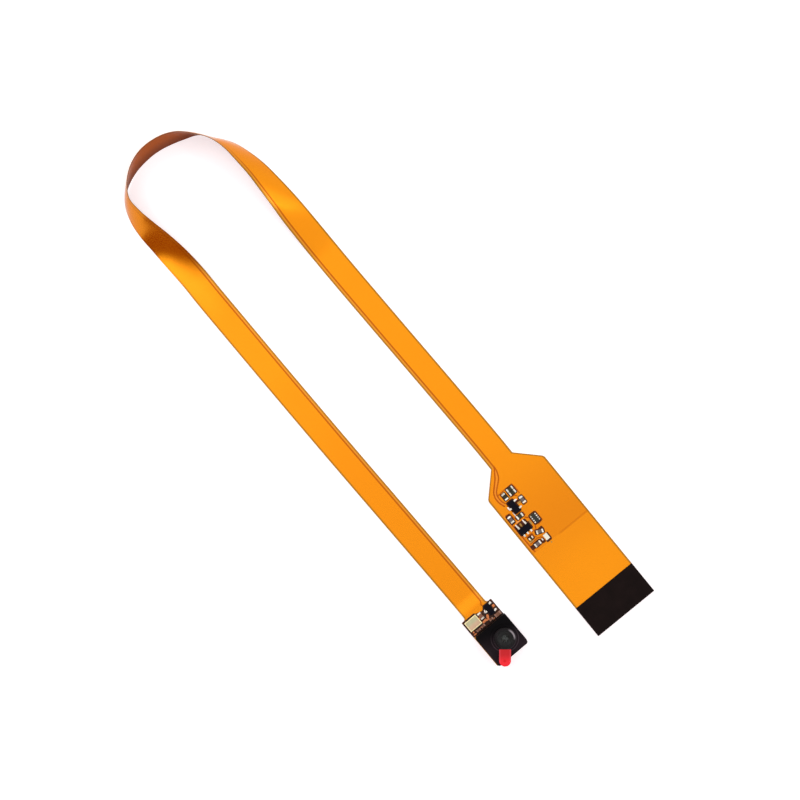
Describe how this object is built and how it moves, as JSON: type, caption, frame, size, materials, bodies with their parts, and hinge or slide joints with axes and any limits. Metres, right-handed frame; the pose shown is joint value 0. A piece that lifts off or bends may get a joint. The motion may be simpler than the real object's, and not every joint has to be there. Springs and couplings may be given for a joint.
{
  "type": "camera module with flexible cable",
  "caption": "Fixed-focus camera head with a cover film and pull tab, on a long looped flexible circuit that ends in a wide contact tail.",
  "frame": {"origin": "on the lens axis, at the underside of the steel plate under the head", "axes": "+Z out of the lens, +Y the way the ribbon leaves the head, +X towards the ribbon's returning arm"},
  "size_m": [0.0379, 0.1473, 0.0067],
  "materials": {
    "flex_orange": "glossy orange film",
    "steel_plate": "plain rolled steel",
    "silicon": "polished silicon",
    "filter_glass": "coated glass",
    "black_plastic": "fine moulded black",
    "black_barrel": "satin black",
    "lens_glass": "clear moulded lens",
    "clear_film": "clear film",
    "red_tab": "satin red tape",
    "gold_rim": "gold plated rim",
    "lid_metal": "pale satin lid",
    "chip_black": "moulded epoxy",
    "tin": "bright tin",
    "capacitor_brown": "fired ceramic",
    "capacitor_grey": "fired ceramic",
    "stiffener_black": "matt black film",
    "gold_contact": "gold plated copper",
    "resistor_dark": "dark glaze",
    "pale_ceramic": "white ceramic"
  },
  "bodies": {
    "root": {"flex_circuit": "flex_orange", "head_stiffener": "steel_plate", "sensor_die": "silicon", "ir_filter": "filter_glass", "lens_holder": "black_plastic", "lens_barrel": "black_barrel", "front_lens": "lens_glass", "middle_lens": "lens_glass", "rear_lens": "lens_glass", "light_baffles": "black_barrel", "lens_retainer": "black_barrel", "lens_film": "clear_film", "pull_tab": "red_tab", "oscillator_base": "gold_rim", "oscillator_lid": "lid_metal", "head_regulator_body": "chip_black", "head_regulator_leads": "tin", "head_capacitor_bodies": "capacitor_brown", "head_capacitor_ends": "tin", "tail_stiffener": "stiffener_black", "contact_fingers": "gold_contact", "tail_transistor_body": "chip_black", "tail_transistor_leads": "tin", "tail_regulator_body": "chip_black", "tail_regulator_leads": "tin", "tail_capacitor_bodies": "capacitor_grey", "tail_capacitor_ends": "tin", "tail_resistor_bodies": "resistor_dark", "tail_resistor_ends": "tin", "tail_inductor": "pale_ceramic", "resistor_array_body": "resistor_dark", "resistor_array_ends": "tin"}
  },
  "joints": []
}
